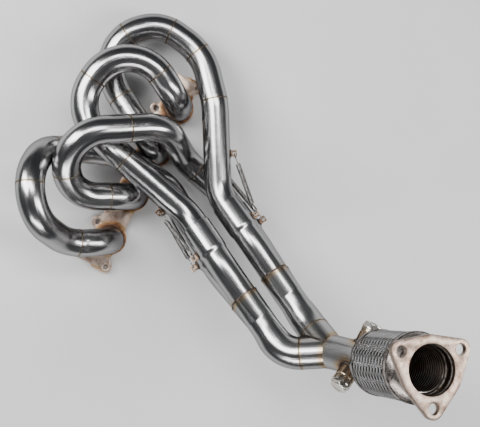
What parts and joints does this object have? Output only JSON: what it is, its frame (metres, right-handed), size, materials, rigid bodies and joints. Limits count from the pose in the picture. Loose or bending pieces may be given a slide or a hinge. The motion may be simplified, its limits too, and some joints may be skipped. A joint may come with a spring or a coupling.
{
  "type": "exhaust manifold",
  "caption": "Four-into-two-into-one tubular exhaust manifold with sprung slip joints, capped sensor bosses, a braided flex section and a triangular outlet flange.",
  "frame": {"origin": "centre of the head flange's mating face, midway along the row of ports", "axes": "+Z out of the engine along the port axes, +X along the row from port 1 to port 4, +Y away from the collector"},
  "size_m": [0.415, 0.6256, 0.4393],
  "materials": {
    "polished_steel": "polished stainless tube, heat-tinted at the welds",
    "flange_steel": "satin laser-cut stainless plate",
    "tab_steel": "heat-tinted stainless",
    "spring_steel": "bare spring wire",
    "braid_steel": "stainless wire braid over convolutions",
    "bellows_steel": "bright formed strip",
    "plug_steel": "turned steel plug"
  },
  "bodies": {
    "upper": {"head_flange": "flange_steel", "primary_1_port_elbow": "polished_steel", "primary_1_outer_bend": "polished_steel", "primary_1_crown_bend": "polished_steel", "primary_1_return_bend": "polished_steel", "primary_1_under_bend": "polished_steel", "primary_1_spigot": "polished_steel", "primary_2_port_elbow": "polished_steel", "primary_2_outer_bend": "polished_steel", "primary_2_crown_bend": "polished_steel", "primary_2_return_bend": "polished_steel", "primary_2_spigot": "polished_steel", "primary_3_port_elbow": "polished_steel", "primary_3_outer_bend": "polished_steel", "primary_3_crown_bend": "polished_steel", "primary_3_return_bend": "polished_steel", "primary_3_spigot": "polished_steel", "primary_4_port_elbow": "polished_steel", "primary_4_outer_bend": "polished_steel", "primary_4_crown_bend": "polished_steel", "primary_4_spigot": "polished_steel", "upper_tab_1": "tab_steel", "upper_tab_2": "tab_steel", "upper_tab_3": "tab_steel", "upper_tab_4": "tab_steel"},
    "lower": {"slip_tube_1": "polished_steel", "slip_tube_2": "polished_steel", "slip_tube_3": "polished_steel", "slip_tube_4": "polished_steel", "lower_tab_1": "tab_steel", "lower_tab_2": "tab_steel", "lower_tab_3": "tab_steel", "lower_tab_4": "tab_steel", "spring_1": "spring_steel", "spring_2": "spring_steel", "spring_3": "spring_steel", "spring_4": "spring_steel", "merge_left": "polished_steel", "merge_right": "polished_steel", "secondary_left": "polished_steel", "secondary_right": "polished_steel", "collector": "polished_steel", "collector_pipe": "polished_steel", "sensor_boss_lower": "polished_steel", "sensor_boss_upper": "polished_steel", "sensor_plug_lower": "plug_steel", "sensor_plug_upper": "plug_steel", "plug_washer_lower": "plug_steel", "plug_washer_upper": "plug_steel", "flex_inlet_ring": "polished_steel"},
    "flex_mid": {"flex_bellows": "bellows_steel", "flex_braid": "braid_steel", "flex_liner": "bellows_steel"},
    "outlet": {"flex_outlet_ring": "polished_steel", "outlet_stub": "polished_steel", "outlet_flange": "flange_steel"}
  },
  "joints": [
    {"name": "slip_slide", "type": "slide", "parent": "upper", "child": "lower", "axis": [-0.453, -0.8053, 0.3825], "range_m": [0, 0.008], "stiffness_N_per_m": 12000, "springref_m": -0.004, "deforming": ["spring_1", "spring_2", "spring_3", "spring_4"]},
    {"name": "flex_tilt_x", "type": "hinge", "parent": "lower", "child": "flex_mid", "pos_m": [-0.0759, -0.40163, 0.3249], "axis": [0.9766, 0, -0.2149], "range_deg": [-6, 6], "stiffness_Nm_per_rad": 30, "deforming": ["flex_bellows", "flex_braid", "flex_liner"]},
    {"name": "flex_tilt_y", "type": "hinge", "parent": "flex_mid", "child": "outlet", "pos_m": [-0.06841, -0.4047, 0.35895], "axis": [0.0188, 0.9962, 0.0855], "range_deg": [-6, 6], "stiffness_Nm_per_rad": 30}
  ]
}
